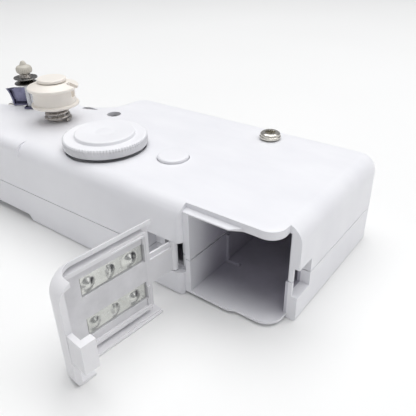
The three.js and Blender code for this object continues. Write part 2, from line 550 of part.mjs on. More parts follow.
add('arm_pivot_pin', rod(ARM_PIVOT, 1.48, 5.4, 18.4), ...steel);
add('needle_arm', needle_arm(), ...steel);
add('needle_clamp', needle_clamp(), ...nickel);
add('needle_screw', needle_screw(), ...steel);
add('needle', needle(), ...steel);
add('presser_bar', join(rodY([PRESSER.x, PRESSER.z], 1.55, -7, 47.6),
  rodY([PRESSER.x, PRESSER.z], 3, 14, 15.5)), ...steel);
add('presser_knob', rodY([PRESSER.x, PRESSER.z], 3.4, -11, -4.6, 24)
  .subtract(rodY([PRESSER.x, PRESSER.z], 1.75, -7.4, -4)), ...grey);
add('presser_foot', presser_foot(), ...steel);
add('needle_plate', box(-205, -164, PLATE_Y, BED_Y - GAP, 4.2, 18.8)
  .subtract(box(-191.5, -181.5, 50, 56, 13.2, 17.8)), ...nickel);
add('looper', looper(), ...steel);
add('looper_pin', rodY([looperPin.x, looperPin.z], 1.1, BED_Y + 1.1, CASE_W - 1.1), ...steel);

const bayPlate = (x, z) => box(x - 5, x + 5, BAY.y1 - 0.9, BAY.y1 - GAP, z - 5, z + 5);
add('bay_plate_a', bayPlate(-25.8, 9.4), ...nickel);
add('bay_plate_b', bayPlate(-10.8, 9.4), ...nickel);
add('bay_plate_c', box(-30.8, -5.8, BAY.y1 - 0.9, BAY.y1 - GAP, 19.2, 29.2), ...nickel);

bosses.forEach((b, i) => add(`case_screw_${'abcd'[i]}`, caseScrew(b, i === 3 ? 3 : 0), ...steel));

export default group;
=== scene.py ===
import json
import math

import bmesh
import bpy
from mathutils import Matrix, Vector

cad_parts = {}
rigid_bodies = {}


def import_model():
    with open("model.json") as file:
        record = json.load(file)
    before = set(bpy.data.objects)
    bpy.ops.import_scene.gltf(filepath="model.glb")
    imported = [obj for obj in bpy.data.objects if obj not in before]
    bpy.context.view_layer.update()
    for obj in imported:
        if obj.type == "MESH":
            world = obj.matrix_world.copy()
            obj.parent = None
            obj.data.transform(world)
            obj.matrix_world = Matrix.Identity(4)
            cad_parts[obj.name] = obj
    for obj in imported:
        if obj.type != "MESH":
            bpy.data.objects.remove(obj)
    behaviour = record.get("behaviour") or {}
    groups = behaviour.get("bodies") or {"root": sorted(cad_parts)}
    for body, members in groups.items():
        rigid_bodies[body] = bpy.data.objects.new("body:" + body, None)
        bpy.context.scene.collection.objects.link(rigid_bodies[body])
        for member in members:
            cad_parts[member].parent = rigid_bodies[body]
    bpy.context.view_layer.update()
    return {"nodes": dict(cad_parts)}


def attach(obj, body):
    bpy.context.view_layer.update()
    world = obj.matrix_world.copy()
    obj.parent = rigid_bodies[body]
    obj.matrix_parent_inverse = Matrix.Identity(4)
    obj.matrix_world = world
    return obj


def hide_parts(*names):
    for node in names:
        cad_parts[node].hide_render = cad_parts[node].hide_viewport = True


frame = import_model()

NODES = frame["nodes"]

# Shapes are drawn in millimetres from the battery end face, the door side and the floor,
# as the CAD model is, and then moved into the row frame.
SHIFT = Vector((103.0, -36.25, 0.0))
CASE_H, CASE_W = 34.0, 72.5
WALL, EDGE_R, PART_Z = 1.8, 6.0, 14.15
WHEEL, BUTTON, WINDER = (-86.0, 19.4), (-58.7, 25.7), (-39.5, 60.2)
SOCKET, SPOOL, TENSION = (-109.0, 45.4), (-123.4, 27.0), (-146.1, 30.0)
IDLER, ARM_PIVOT = (-58.930382, 49.882043), (-104.0, 22.0)
BAY = dict(x0=-33.1, x1=-3.4, y1=58.0, z0=2.0, z1=31.0)
DOOR_EDGE, DOOR_END, EDGE_ROUND = -35.4, 11.0, 2.0
BROW_R, BROW_X = 3.8, -115.1
POCKET = dict(x0=-48.8, x1=-34.9, y=3.8, z0=8.8, z1=20.4)
LATCH = dict(y0=12.0, y1=18.9, z0=9.1, z1=19.4)
PIVOT, SLIDE, SWING = (-45.4, 1.4), 6.3, -96.0
BED_Y, HEAD_END, BED_END = 54.5, -172.0, -206.0
BOSSES = ((-8, 66), (-104, 66), (-52, 8), (-154, 6.4))
# points closer than this are one point, and faces within this angle in degrees are one face
MERGE, FLAT = 2e-3, 0.6


# ---- mesh helpers --------------------------------------------------------------------------
def data_object(name, verts, faces):
    mesh = bpy.data.meshes.new(name)
    mesh.from_pydata([tuple(v) for v in verts], [], faces)
    bm = bmesh.new()
    bm.from_mesh(mesh)
    bmesh.ops.remove_doubles(bm, verts=bm.verts, dist=1e-5)
    bmesh.ops.recalc_face_normals(bm, faces=bm.faces)
    bm.to_mesh(mesh)
    bm.free()
    obj = bpy.data.objects.new(name, mesh)
    bpy.context.scene.collection.objects.link(obj)
    return obj


def outline(corners, step=0.1):
    """Points round a polygon with filleted corners, each with its outward normal.

    step is the angle between points on a fillet, in radians."""
    points = []
    n = len(corners)
    for i, (x, y, r) in enumerate(corners):
        px, py, _ = corners[i - 1]
        nx, ny, _ = corners[(i + 1) % n]
        a = Vector((x - px, y - py)).normalized()
        b = Vector((nx - x, ny - y)).normalized()
        turn = math.atan2(a.x * b.y - a.y * b.x, a.dot(b))
        tangent = r * math.tan(abs(turn) / 2)
        side = math.copysign(1, turn)
        cx = x - a.x * tangent - a.y * r * side
        cy = y - a.y * tangent + a.x * r * side
        count = max(2, round(abs(turn) / step))
        for k in range(count + 1):
            t = turn * k / count
            normal = (a.y * math.cos(t) + a.x * math.sin(t), -a.x * math.cos(t) + a.y * math.sin(t))
            points.append((cx + normal[0] * r * side, cy + normal[1] * r * side, normal))
    return points


def loft(points, layers):
    """Stacks an outline in layers of (inset, z) and closes the two ends."""
    n = len(points)
    verts = [(x - m[0] * inset, y - m[1] * inset, z) for inset, z in layers for x, y, m in points]
    faces = [tuple(range(n))[::-1], tuple(range((len(layers) - 1) * n, len(layers) * n))]
    for k in range(len(layers) - 1):
        for i in range(n):
            j = (i + 1) % n
            faces.append((k * n + i, k * n + j, (k + 1) * n + j, (k + 1) * n + i))
    return data_object("tool", verts, faces)


def rounded(inset, r, z0, z1, steps):
    """Layers of a wall from z0 to z1 whose top edge is rounded by r."""
    layers = [(inset, z0)]
    for k in range(steps + 1):
        a = math.pi / 2 * k / steps
        layers.append((inset + r * (1 - math.cos(a)), z1 - r + r * math.sin(a)))
    return layers


def prism(points, z0, z1):
    """A polygon in X and Y pushed up from z0 to z1."""
    n = len(points)
    verts = [(x, y, z) for z in (z0, z1) for x, y in points]
    faces = [tuple(range(n))[::-1], tuple(range(n, 2 * n))]
    faces += [(i, (i + 1) % n, n + (i + 1) % n, n + i) for i in range(n)]
    return data_object("tool", verts, faces)


def turned(obj, matrix):
    obj.data.transform(matrix)
    return obj


def prism_xz(points, y0, y1):
    p = prism([(x, -z) for x, z in points], y0, y1)
    return turned(p, Matrix.Rotation(-math.pi / 2, 4, "X"))


def block(x0, x1, y0, y1, z0, z1):
    return prism([(x0, y0), (x1, y0), (x1, y1), (x0, y1)], z0, z1)


def ring_points(centre, r, sides):
    return [(centre[0] + r * math.cos(2 * math.pi * i / sides),
             centre[1] + r * math.sin(2 * math.pi * i / sides)) for i in range(sides)]


def rod(centre, r, z0, z1, sides=48):
    return prism(ring_points(centre, r, sides), z0, z1)


def rod_y(centre, r, y0, y1, sides=40):
    x, z = centre
    p = prism(ring_points((0, 0), r, sides), y0, y1)
    return turned(p, Matrix.Translation((x, 0, z)) @ Matrix.Rotation(-math.pi / 2, 4, "X"))


def soft(points):
    """Rounds the corners of a profile: each point is (r, z) or (r, z, fillet)."""
    steps = 4
    out = []
    n = len(points)
    for i, p in enumerate(points):
        fillet = p[2] if len(p) > 2 else 0
        here = Vector(p[:2])
        if not fillet:
            out.append(here)
            continue
        before, after = Vector(points[i - 1][:2]), Vector(points[(i + 1) % n][:2])
        a, b = before - here, after - here
        t = min(fillet, a.length * 0.49, b.length * 0.49)
        s, e = here + a.normalized() * t, here + b.normalized() * t
        for k in range(steps + 1):
            f = k / steps
            out.append(s * (1 - f) ** 2 + here * 2 * f * (1 - f) + e * f * f)
    return out


def lathe(centre, profile, sides=96, wave=None):
    """Turns a profile about Z. It runs from axis to axis, or it is a closed ring."""
    profile = soft(profile)
    whole = profile[0][0] < 1e-6 and profile[-1][0] < 1e-6
    verts, rings = [], []
    for r, z in profile:
        if r < 1e-6:
            rings.append([len(verts)] * sides)
            verts.append((centre[0], centre[1], z))
            continue
        rings.append(list(range(len(verts), len(verts) + sides)))
        for i in range(sides):
            a = 2 * math.pi * i / sides
            q = wave(a, r, z) if wave else r
            verts.append((centre[0] + q * math.cos(a), centre[1] + q * math.sin(a), z))
    faces = []
    pairs = list(zip(rings, rings[1:])) + ([] if whole else [(rings[-1], rings[0])])
    for low, high in pairs:
        for i in range(sides):
            j = (i + 1) % sides
            face = []
            for v in (low[i], low[j], high[j], high[i]):
                if v not in face:
                    face.append(v)
            if len(face) > 2:
                faces.append(tuple(face))
    return data_object("tool", verts, faces)


def combine(base, steps):
    """Joins or cuts solids in turn, and returns base with the result as its mesh."""
    made = []
    for how, others in steps:
        for other in others:
            mod = base.modifiers.new("step", "BOOLEAN")
            mod.operation = how
            mod.object = other
            mod.solver = "MANIFOLD"
            made.append(other)
    settle(base)
    for other in set(made):
        bpy.data.objects.remove(other)
    return base


def join(base, *others):
    return combine(base, [("UNION", others)])


def cut(base, *others):
    return combine(base, [("DIFFERENCE", others)])


def copy_of(obj):
    twin = obj.copy()
    twin.data = obj.data.copy()
    bpy.context.scene.collection.objects.link(twin)
    return twin


def settle(obj):
    """Applies an object's modifiers."""
    depsgraph = bpy.context.evaluated_depsgraph_get()
    mesh = bpy.data.meshes.new_from_object(obj.evaluated_get(depsgraph))
    obj.modifiers.clear()
    old = obj.data
    obj.data = mesh
    bpy.data.meshes.remove(old)
    return obj


def tidy(obj):
    """Merges the close points and the flat faces that the booleans leave."""
    bm = bmesh.new()
    bm.from_mesh(obj.data)
    bmesh.ops.remove_doubles(bm, verts=bm.verts, dist=MERGE)
    bmesh.ops.dissolve_limit(bm, angle_limit=math.radians(FLAT), verts=bm.verts, edges=bm.edges)
    bm.to_mesh(obj.data)
    bm.free()
    return obj


def ease(obj, width=0.3, segments=3, angle=32):
    """Rounds every edge sharper than angle."""
    tidy(obj)
    mod = obj.modifiers.new("edges", "BEVEL")
    mod.width = width
    mod.segments = segments
    mod.limit_method = "ANGLE"
    mod.angle_limit = math.radians(angle)
    mod.use_clamp_overlap = True
    mod.miter_outer = "MITER_ARC"
    return settle(obj)


def piece(obj, name, body, material, nodes=(), smooth=38, flat_areas=True):
    """Moves a finished shape into the row frame and hands it to its CAD body."""
    obj.data.transform(Matrix.Scale(0.001, 4) @ Matrix.Translation(SHIFT))
    obj.name = name
    obj.data.name = name
    for poly in obj.data.polygons:
        poly.use_smooth = True
    obj.data.set_sharp_from_angle(angle=math.radians(smooth))
    if flat_areas:
        mod = obj.modifiers.new("flats", "WEIGHTED_NORMAL")
        mod.keep_sharp = True
        mod.weight = 60
    obj.data.materials.clear()
    obj.data.materials.append(material)
    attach(obj, body)
    if nodes:
        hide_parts(*nodes)
    return obj


def from_node(node, width):
    """A copy of a CAD node's shape, in the drawing's millimetres, with its edges rounded."""
    mesh = NODES[node].data.copy()
    mesh.transform(Matrix.Translation(-SHIFT) @ Matrix.Scale(1000, 4))
    obj = bpy.data.objects.new("tool", mesh)
    bpy.context.scene.collection.objects.link(obj)
    obj.data.materials.clear()
    return ease(obj, width, 2)


# ---- materials -----------------------------------------------------------------------------
def nodes_of(name):
    mat = bpy.data.materials.new(name)
    mat.use_nodes = True
    tree = mat.node_tree
    shader = next(n for n in tree.nodes if n.type == "BSDF_PRINCIPLED")
    return mat, tree, shader


def noise(tree, scale, detail=4.0, stretch=None):
    coords = tree.nodes.new("ShaderNodeTexCoord")
    source = coords.outputs["Object"]
    if stretch:
        mapping = tree.nodes.new("ShaderNodeMapping")
        mapping.inputs["Scale"].default_value = stretch
        tree.links.new(source, mapping.inputs["Vector"])
        source = mapping.outputs["Vector"]
    tex = tree.nodes.new("ShaderNodeTexNoise")
    tex.inputs["Scale"].default_value = scale
    tex.inputs["Detail"].default_value = detail
    tex.inputs["Roughness"].default_value = 0.55
    tree.links.new(source, tex.inputs["Vector"])
    return tex.outputs["Fac"]


def ramp(tree, fac, low, high, start=0.3, end=0.7):
    node = tree.nodes.new("ShaderNodeValToRGB")
    node.color_ramp.elements[0].position = start
    node.color_ramp.elements[1].position = end
    node.color_ramp.elements[0].color = (*low, 1) if len(low) == 3 else low
    node.color_ramp.elements[1].color = (*high, 1) if len(high) == 3 else high
    tree.links.new(fac, node.inputs["Fac"])
    return node.outputs["Color"]


def spread(tree, fac, low, high):
    node = tree.nodes.new("ShaderNodeMapRange")
    node.inputs["From Min"].default_value = 0.3
    node.inputs["From Max"].default_value = 0.7
    node.inputs["To Min"].default_value = low
    node.inputs["To Max"].default_value = high
    tree.links.new(fac, node.inputs["Value"])
    return node.outputs["Result"]


def bumps(tree, shader, layers):
    """Stacks bump layers, each (height, distance in metres, strength)."""
    last = None
    for height, distance, strength in layers:
        node = tree.nodes.new("ShaderNodeBump")
        node.inputs["Distance"].default_value = distance
        node.inputs["Strength"].default_value = strength
        tree.links.new(height, node.inputs["Height"])
        if last:
            tree.links.new(last, node.inputs["Normal"])
        last = node.outputs["Normal"]
    tree.links.new(last, shader.inputs["Normal"])


def inside(tree, ranges):
    """1 inside a box given as (low, high, softness low, softness high) in millimetres, else 0."""
    coords = tree.nodes.new("ShaderNodeTexCoord")
    split = tree.nodes.new("ShaderNodeSeparateXYZ")
    tree.links.new(coords.outputs["Object"], split.inputs["Vector"])
    total = None
    for axis, (low, high, soft_low, soft_high) in enumerate(ranges):
        for edge, fade, first, last in ((low, soft_low, 0, 1), (high, soft_high, 1, 0)):
            step = tree.nodes.new("ShaderNodeMapRange")
            step.interpolation_type = "SMOOTHSTEP"
            step.inputs["From Min"].default_value = (edge - fade + SHIFT[axis]) / 1000
            step.inputs["From Max"].default_value = (edge + fade + SHIFT[axis]) / 1000
            step.inputs["To Min"].default_value = first
            step.inputs["To Max"].default_value = last
            tree.links.new(split.outputs[axis], step.inputs["Value"])
            if total is None:
                total = step.outputs["Result"]
                continue
            times = tree.nodes.new("ShaderNodeMath")
            times.operation = "MULTIPLY"
            tree.links.new(total, times.inputs[0])
            tree.links.new(step.outputs["Result"], times.inputs[1])
            total = times.outputs["Value"]
    return total


def moulded(name, light, dark, rough=(0.30, 0.42), grain=2600, depth=6e-6, sss=0.0, shade=None):
    """Injection moulded plastic: a fine spark-eroded grain, faint flow marks, slight gloss shifts.

    shade is (ranges, tint): inside that box the colour is replaced by a darker mottled tint, painted
    shade that stands in for the shadow lying there."""
    mat, tree, shader = nodes_of(name)
    flow = noise(tree, 38, 3, (1, 2.2, 1))
    colour = ramp(tree, flow, dark, light)
    # painted shade: inside the masked box the plastic takes a darker tint in place of shadow
    if shade:
        mix = tree.nodes.new("ShaderNodeMix")
        mix.data_type = "RGBA"
        tree.links.new(inside(tree, shade[0]), mix.inputs[0])
        tree.links.new(colour, mix.inputs[6])
        # noise that mottles the painted shade
        painted_shade_mottle = noise(tree, 120, 4)
        low = tuple(c * 0.82 for c in shade[1])
        tree.links.new(ramp(tree, painted_shade_mottle, low, shade[1]), mix.inputs[7])
        colour = mix.outputs[2]
    tree.links.new(colour, shader.inputs["Base Color"])
    gloss = noise(tree, 160, 5)
    tree.links.new(spread(tree, gloss, *rough), shader.inputs["Roughness"])
    fine = noise(tree, grain, 2)
    sink = noise(tree, 55, 2)
    bumps(tree, shader, [(sink, 1.2e-4, 0.25), (fine, depth, 0.6)])
    shader.inputs["Specular IOR Level"].default_value = 0.5
    if sss:
        shader.inputs["Subsurface Weight"].default_value = sss
        shader.inputs["Subsurface Radius"].default_value = (1.0, 0.9, 0.8)
        shader.inputs["Subsurface Scale"].default_value = 0.0012
    return mat


def metal(name, light, dark, rough=(0.16, 0.32), grain=900, stretch=None):
    """Plated or drawn metal: a brushed grain, uneven polish and faint stains."""
    mat, tree, shader = nodes_of(name)
    stain = noise(tree, 210, 5)
    tree.links.new(ramp(tree, stain, dark, light, 0.25, 0.65), shader.inputs["Base Color"])
    shader.inputs["Metallic"].default_value = 1.0
    brushed = noise(tree, grain, 4, stretch)
    tree.links.new(spread(tree, brushed, *rough), shader.inputs["Roughness"])
    bumps(tree, shader, [(brushed, 8e-6, 0.5)])
    return mat


WHITE = moulded("white_plastic", (0.86, 0.86, 0.885), (0.815, 0.815, 0.845))
# painted shade: inside the battery bay the shell colour is darkened to a violet grey, standing in for
# the deep shadow there
BAY_SHADE_BOX = ((-33.3, -3.2, 0.1, 0.1), (10, 58.2, 8, 0.2), (1.9, 31.1, 0.1, 0.1))
SHELL = moulded("shell_plastic", (0.86, 0.86, 0.885), (0.815, 0.815, 0.845),
                shade=(BAY_SHADE_BOX, (0.46, 0.445, 0.51)))
# painted shade: the inner panel of the open door is darkened, standing in for the shade it lies in
DOOR_PANEL_SHADE_BOX = ((-41.55, -30, 0.15, 0.1), (-38.6, -11.6, 0.3, 0.3), (3.9, 29.2, 0.2, 0.2))
DOOR_WHITE = moulded("door_plastic", (0.85, 0.845, 0.86), (0.80, 0.795, 0.815), (0.33, 0.46),
                     shade=(DOOR_PANEL_SHADE_BOX, (0.76, 0.755, 0.775)))
# painted shade: the side band of the wheel rim is darkened, standing in for the shade under its
# serrated top edge
WHEEL_SIDE_SHADE_BOX = ((-110, -60, 1, 1), (0, 40, 1, 1), (34, 37.9, 0.2, 0.3))
WHEEL_WHITE = moulded("wheel_plastic", (0.88, 0.88, 0.90), (0.84, 0.84, 0.865), (0.28, 0.4),
                      shade=(WHEEL_SIDE_SHADE_BOX, (0.72, 0.72, 0.74)))
GEAR = moulded("gear_plastic", (0.66, 0.66, 0.63), (0.58, 0.58, 0.55), (0.45, 0.6))
IVORY = moulded("ivory_plastic", (0.89, 0.845, 0.78), (0.85, 0.80, 0.73), (0.30, 0.45), sss=0.08)
KNOB = moulded("knob_plastic", (0.60, 0.57, 0.50), (0.50, 0.47, 0.41), (0.3, 0.5), 1800, 1.2e-5)
DARK = moulded("dark_plastic", (0.045, 0.045, 0.05), (0.028, 0.028, 0.032), (0.4, 0.55))
BOARD = moulded("board", (0.06, 0.24, 0.11), (0.04, 0.18, 0.08), (0.35, 0.5), 1200)
STEEL = metal("steel", (0.60, 0.61, 0.63), (0.46, 0.47, 0.49), (0.22, 0.38), 700, (1, 1, 7))
NICKEL = metal("nickel", (0.72, 0.70, 0.64), (0.56, 0.54, 0.49), (0.14, 0.28))
STRIP_METAL = metal("contact_plate", (0.68, 0.69, 0.66), (0.59, 0.60, 0.57), (0.2, 0.3), 1100)
SPRING = metal("spring_wire", (0.55, 0.52, 0.49), (0.38, 0.355, 0.335), (0.22, 0.38), 1500)
# painted reflection: a bluish chrome plate whose base colour is darkened to stand in for the dark
# surroundings it reflects
DARKENED_CHROME = metal("bracket_plate", (0.22, 0.22, 0.31), (0.10, 0.10, 0.155), (0.07, 0.2), 600, (5, 1, 1))
WASHER = metal("washer_steel", (0.34, 0.33, 0.31), (0.15, 0.145, 0.14), (0.14, 0.3), 1200)
BRASS = metal("brass", (0.62, 0.44, 0.17), (0.5, 0.35, 0.13), (0.2, 0.36))


# ---- case shells ---------------------------------------------------------------------------
PLAN = outline([
    (0, 0, 9), (0, CASE_W, 7), (-117.5, CASE_W, 8), (-118.6, 54.9, 8), (-157.8, 32.1, 30),
    (HEAD_END, 27.2, 6.7), (HEAD_END, 0, 7),
])
BED_PLAN = outline([
    (-104, BED_Y, 2.2), (-104, CASE_W, 2.2), (BED_END, CASE_W, 6), (BED_END, BED_Y, 3.5),
], 0.16)


def straight(inset, z0, z1):
    return loft(PLAN, [(inset, z0), (inset, z1)])


def door_band(grow):
    """The space the door takes round the door side and the battery end corner."""
    space = block(DOOR_EDGE - grow, 4, -4, DOOR_END + grow, -3, CASE_H + 3)
    side = loft(PLAN, [(2 + grow, 1.1 + grow), (2 + grow, 31.4 - grow), (4 + grow, 32 - grow)])
    return cut(space, side, straight(4 + grow, 1.1 + grow, 36), straight(6.4 + grow, -5, 38))


def case_shells():
    body = loft(PLAN, [(0.7, 0)] + rounded(0, EDGE_R, 0.7, CASE_H, 12))
    # the near edge of the head has a smaller rounding than the grip
    brow = loft(PLAN, [(0.7, 0)] + rounded(0, BROW_R, 0.7, CASE_H, 9))
    combine(brow, [("INTERSECT", [block(HEAD_END - 5, BROW_X, -5, 14, -1, CASE_H + 1)])])
    bed = loft(BED_PLAN, [(1, 3)] + rounded(0, 1.6, 4, 20, 4))
    undercut = prism_xz([(HEAD_END - 5, -1), (-113.4, -1), (-116.2, 3), (HEAD_END - 5, 3)], -5, 60)
    hollow = loft(PLAN, rounded(WALL, EDGE_R - WALL, WALL, CASE_H - WALL, 4))
    cut(hollow, block(HEAD_END - 5, -109.5, -5, 60, 0, 3 + WALL))
    join(hollow, block(BED_END + WALL, -108, BED_Y + WALL, CASE_W - WALL, 3 + WALL, 20 - WALL))
    cut(hollow, block(BAY["x0"] - 2, 5, -5, BAY["y1"] + 1.6, -1, CASE_H + 1),
        block(DOOR_EDGE - 1.1, BAY["x0"], -5, 14, -1, CASE_H + 1))
    well = rod(WHEEL, 17, 28.6, CASE_H - 1)
    combine(well, [("INTERSECT", [copy_of(body)])])
    hinge_block = block(POCKET["x0"] - 1.4, BAY["x0"], 1.2, POCKET["y"] + 1.6,
                        POCKET["z0"] - 2.4, POCKET["z1"] + 2.4)
    combine(body, [("UNION", [brow]), ("DIFFERENCE", [undercut]), ("UNION", [bed]),
                   ("DIFFERENCE", [hollow]), ("UNION", [well, hinge_block])])
    bay = join(block(BAY["x0"], -4.1, -5, BAY["y1"], BAY["z0"], BAY["z1"]),
               block(-5.1, BAY["x1"], -5, BAY["y1"], PART_Z, BAY["z1"]))
    cut(bay, block(-40, BAY["x0"] + 0.9, 22, 23.2, 0, PART_Z - 1),
        block(-40, BAY["x0"] + 5.5, 22, 23.2, 0, BAY["z0"] + 0.9))
    # round the battery end corner the ledge of the mouth runs out
    edge = [(-19, -4), (4, -4), (4, DOOR_END), (-14.5, DOOR_END), (-14.5, 4.2), (-19, 1.8)]
    corner = cut(prism(edge, 30.4, CASE_H + 3), straight(4, 30, 40))
    sill = cut(prism(edge, -3, 4.2), straight(3.1, -4, 5))
    slit = prism([(-134.4, 42.6), (-128.5, 42.2), (-123.5, 43.3), (-118.9, 45.3), (-126.3, 45.9),
                  (-133.6, 45.6)], 27.5, 40)
    upright = cut(block(DOOR_EDGE - EDGE_ROUND, DOOR_EDGE + 0.1, -1, EDGE_ROUND, -1, 40),
                  rod((DOOR_EDGE - EDGE_ROUND, EDGE_ROUND), EDGE_ROUND, -2, 41, 64))
    holes = [
        bay, door_band(0), corner, sill, slit, upright,
        block(BAY["x0"] - 0.6, BAY["x0"] + 0.2, 4.5, BAY["y1"] - 1, PART_Z - 0.32, PART_Z + 0.32),
        block(BAY["x1"] - 1, 4, -4, DOOR_END, BAY["z0"], BAY["z1"]),
        block(HEAD_END - 5, -149, 8.5, 45, 12.7, 18.3),
        block(POCKET["x0"], POCKET["x1"], -3, POCKET["y"], POCKET["z0"], POCKET["z1"]),
        block(POCKET["x0"], -38.4, 0.5, 2.3, POCKET["z0"] - 1, POCKET["z1"] + 1),
        block(-44.8, -37.3, 3, 8, POCKET["z0"] + 0.6, POCKET["z1"] - 0.6),
        block(-5, 3, LATCH["y0"], LATCH["y1"], LATCH["z0"], LATCH["z1"]),
        block(-1.95, 3, DOOR_END - 0.5, LATCH["y0"] + 0.1, LATCH["z0"], LATCH["z1"]),
        rod(BUTTON, 5.85, 30, 36, 64), rod(WINDER, 2.2, 30, 36, 32), rod(SOCKET, 3, 30, 36),
        rod(SPOOL, 2.2, 30, 36, 32), rod(TENSION, 1.8, 29, 36, 32),
        block(-191.5, -181.5, BED_Y - 2, BED_Y + 3, 12.6, 18.15),
        rod_y((-117, 7.4), 1.3, BED_Y + 0.9, CASE_W - 0.9, 24), rod_y((-166, 26.4), 1.7, -6, 32, 32),
        rod(WHEEL, 15.2, 30.4, 40, 96), rod(WHEEL, 2.4, 20, 40, 32),
    ]
    lower = copy_of(body)
    posts = [rod(WHEEL, 3.6, 1, 8.7, 24), rod(WINDER, 3.2, 1, 20.5, 24), rod(IDLER, 3, 1, 21.9, 24),
             rod(ARM_PIVOT, 3.4, 1, 13.4, 24)] + [rod(b, 3.2, 1, 13.8, 20) for b in BOSSES]
    blind = [rod(WHEEL, 2.08, 3.5, 9, 24), rod(WINDER, 1.58, 5.5, 21, 24),
             rod(IDLER, 1.53, 6, 22.5, 24), rod(ARM_PIVOT, 1.53, 5, 15, 24)]
    for i, b in enumerate(BOSSES):
        base = 3 if i == 3 else 0
        blind += [rod(b, 2.9, base - 1, base + 2.2, 32), rod(b, 1.5, base - 1, 14.5, 16)]
    tongue = loft(PLAN, [(0.86, PART_Z - 0.9), (0.86, PART_Z + 0.13)])
    combine(tongue, [("INTERSECT", [block(-150, -93, -3, 1.9, 0, 30)])])
    combine(lower, [("DIFFERENCE", [block(-260, 60, -60, 120, PART_Z - 0.15, 60)]), ("UNION", posts),
                    ("DIFFERENCE", [copy_of(h) for h in holes] + blind), ("UNION", [tongue])])
    studs = [rod(b, 3.2, 14.5, 32.6, 20) for b in BOSSES]
    studs += [rod(p, 1.6, 27.3, 32.6, 16) for p in ((-64.5, 17.2), (-53.5, 17.2))]
    pilots = [rod(b, 1.35, 14, 24, 16) for b in BOSSES]
    combine(body, [("DIFFERENCE", [block(-260, 60, -60, 120, -5, PART_Z + 0.15)]), ("UNION", studs),
                   ("DIFFERENCE", holes + pilots)])
    piece(ease(body, 0.3, 3), "upper_shell", "case", SHELL, ["upper_case"])
    piece(ease(lower, 0.3, 3), "lower_shell", "case", SHELL, ["lower_case"])


# ---- battery door, drawn shut and then swung open --------------------------------------------
OPEN = (Matrix.Translation((PIVOT[0] + SLIDE, PIVOT[1], 0))
        @ Matrix.Rotation(math.radians(SWING), 4, "Z")
        @ Matrix.Translation((-PIVOT[0], -PIVOT[1], 0)))
STRIPS = (9.7, 23.6)


def door():
    foot = [(1.8, 0.1), (1.0, 0.35), (0.6, 0.8)]
    skin = loft(PLAN, foot + rounded(0, EDGE_R, 2.4, CASE_H - 0.05, 12))
    band = door_band(-0.2)
    combine(skin, [("INTERSECT", [band]),
                   ("INTERSECT", [block(DOOR_EDGE + 0.2, 4, -4, DOOR_END - 0.2, 0.1, 40)])])
    x0, x1, z0, z1 = BAY["x0"] + 0.5, -5.0, BAY["z0"] + 0.5, BAY["z1"] - 0.5
    adds = [
        block(x0, x1, 1.7, 3.4, z0, z1),
        block(x0, x1, 3.3, 4.3, z0, z0 + 1.3), block(x0, x1, 3.3, 4.3, z1 - 1.3, z1),
        block(x0, x0 + 1.2, 3.3, 3.9, z0, 11), block(x0, x0 + 1.2, 3.3, 3.9, 20.4, z1),
        block(PIVOT[0], DOOR_EDGE + 1, 0.45, 1.8, 9.4, 18.1),
        block(PIVOT[0] + 1, DOOR_EDGE + 1, 0.45, 1.1, 17.9, 19.7),
        rod(PIVOT, 1.25, POCKET["z0"] + 0.3, POCKET["z1"] - 0.3, 32),
        block(-1.75, -0.15, DOOR_END - 0.8, 16.7, LATCH["z0"] + 0.4, LATCH["z1"] - 0.4),
        block(-4.6, -0.15, 14.4, 16.7, LATCH["z0"] + 0.4, LATCH["z1"] - 0.4),
    ]
    cuts = [block(-31.8, -10.2, 2.4, 6, z - 3.1, z + 3.1) for z in STRIPS]
    cuts += [
        rod(PIVOT, 0.72, 8, 21, 24),
        # steps along the upper rib and the lower flange
        block(-31.8, -20.4, 3.9, 6, z1 - 0.75, z1 + 1),
        block(-34.8, -18.0, 5.3, 7, 0.55, 1.4),
    ]
    combine(skin, [("UNION", adds), ("DIFFERENCE", cuts)])
    ease(skin, 0.26, 3)
    piece(turned(skin, OPEN), "door_panel", "door", DOOR_WHITE, ["battery_door"])


def contact_strip(z, name, node):
    """A pressed strip: a dome at each end and a lanced half dome in the middle."""
    x0, x1, half, base = -31.4, -10.6, 2.8, 2.95
    nu, nv = 112, 34
    verts, faces = [], []

    def height(u, v):
        h = 0.0
        for c in (-26.8, -12.6):
            d = math.hypot(u - c, v)
            if d < 2.5:
                h = 1.15 * (0.5 + 0.5 * math.cos(math.pi * d / 2.5)) ** 0.8
            elif d < 2.95:
                h -= 0.05 * math.sin(math.pi * (d - 2.5) / 0.45)
        d = math.hypot(u + 19.4, 0.9 * v)
        if d < 2.3:
            rise = 0.5 + 0.5 * math.cos(math.pi * d / 2.3)
            h = 0.95 * rise ** 0.6 * min(1.0, max(0.0, (-18.6 - u) / 0.5))
        return h

    for j in range(nv + 1):
        for i in range(nu + 1):
            u, v = x0 + (x1 - x0) * i / nu, -half + 2 * half * j / nv
            verts.append((u, base + height(u, v), z + v))
    top = len(verts)
    for j in range(nv + 1):
        for i in range(nu + 1):
            verts.append((x0 + (x1 - x0) * i / nu, base - 0.32, z - half + 2 * half * j / nv))
    w = nu + 1
    for j in range(nv):
        for i in range(nu):
            a = j * w + i
            faces.append((a, a + 1, a + w + 1, a + w))
            faces.append((top + a, top + a + w, top + a + w + 1, top + a + 1))
    edge = [j * w for j in range(nv + 1)]
    edge += [nv * w + i for i in range(1, nu + 1)]
    edge += [j * w + nu for j in range(nv - 1, -1, -1)]
    edge += [i for i in range(nu - 1, 0, -1)]
    for a, b in zip(edge, edge[1:] + edge[:1]):
        faces.append((a, b, top + b, top + a))
    strip = data_object("tool", verts, faces)
    piece(turned(strip, OPEN), name, "door", STRIP_METAL, [node], smooth=50, flat_areas=False)


